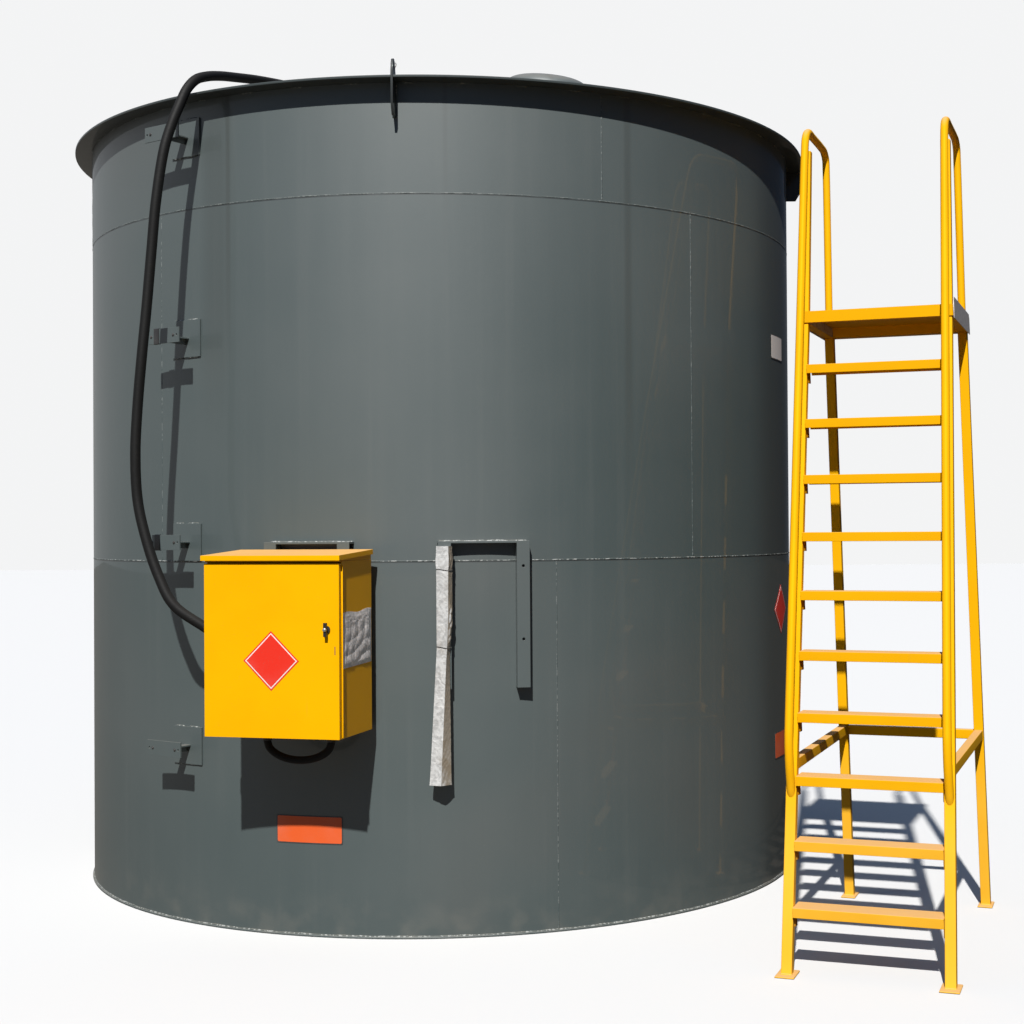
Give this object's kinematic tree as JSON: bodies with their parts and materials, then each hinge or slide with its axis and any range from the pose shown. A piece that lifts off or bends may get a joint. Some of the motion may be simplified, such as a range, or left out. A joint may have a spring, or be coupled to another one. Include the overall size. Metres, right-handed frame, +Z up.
{
  "type": "diesel fuel tank",
  "caption": "Vertical steel diesel tank with a flat rim, cone roof, lifting lugs, wall cabinet with a hinged door, free hose and a free-standing access stair.",
  "frame": {"origin": "the tank's axis at floor level, on the bottom plate's underside", "axes": "+Z up, -Y towards the cabinet side that the picture faces, +X towards the stair"},
  "size_m": [4.2478, 4.3071, 3.7229],
  "materials": {
    "tank_paint": "satin dark grey-green paint",
    "cabinet_yellow": "glossy yellow powder coat",
    "stair_yellow": "satin yellow paint",
    "hose_rubber": "matt black rubber",
    "bare_steel": "dull zinc",
    "wrapped_strip": "crumpled pale film",
    "lock_black": "black moulded plastic"
  },
  "bodies": {
    "tank": {"back_leg_left": "stair_yellow", "back_leg_right": "stair_yellow", "bottom_plate": "tank_paint", "cabinet_body": "cabinet_yellow", "cabinet_frame": "tank_paint", "cabinet_hood": "cabinet_yellow", "door_hinge_lower": "cabinet_yellow", "door_hinge_upper": "cabinet_yellow", "edge_strip": "wrapped_strip", "fuel_hose": "hose_rubber", "handrail_left": "stair_yellow", "handrail_right": "stair_yellow", "hose_bracket_1": "tank_paint", "hose_bracket_2": "tank_paint", "hose_bracket_3": "tank_paint", "hose_bracket_4": "tank_paint", "hose_gland": "bare_steel", "lifting_lug_1": "tank_paint", "lifting_lug_2": "tank_paint", "lifting_lug_3": "tank_paint", "lifting_lug_4": "tank_paint", "loop_hose": "hose_rubber", "loop_plate": "bare_steel", "platform": "stair_yellow", "rear_brace": "stair_yellow", "roof_cone": "tank_paint", "roof_hatch_cover": "tank_paint", "roof_hatch_neck": "tank_paint", "roof_nozzle": "tank_paint", "shell_lower_1": "tank_paint", "shell_lower_2": "tank_paint", "shell_lower_3": "tank_paint", "shell_lower_4": "tank_paint", "shell_middle_1": "tank_paint", "shell_middle_2": "tank_paint", "shell_middle_3": "tank_paint", "shell_middle_4": "tank_paint", "shell_top_1": "tank_paint", "shell_top_2": "tank_paint", "shell_top_3": "tank_paint", "shell_top_4": "tank_paint", "side_brace_left": "stair_yellow", "side_brace_right": "stair_yellow", "spare_frame": "tank_paint", "step_1": "stair_yellow", "step_10": "stair_yellow", "step_2": "stair_yellow", "step_3": "stair_yellow", "step_4": "stair_yellow", "step_5": "stair_yellow", "step_6": "stair_yellow", "step_7": "stair_yellow", "step_8": "stair_yellow", "step_9": "stair_yellow", "stringer_left": "stair_yellow", "stringer_right": "stair_yellow", "top_rim": "tank_paint"},
    "door": {"cabinet_door": "cabinet_yellow", "door_lock": "lock_black"}
  },
  "joints": [
    {"name": "door_hinge", "type": "hinge", "parent": "tank", "child": "door", "pos_m": [-0.75757, -1.93384, 1.2], "axis": [0, 0, -1], "range_deg": [0, 110]}
  ]
}
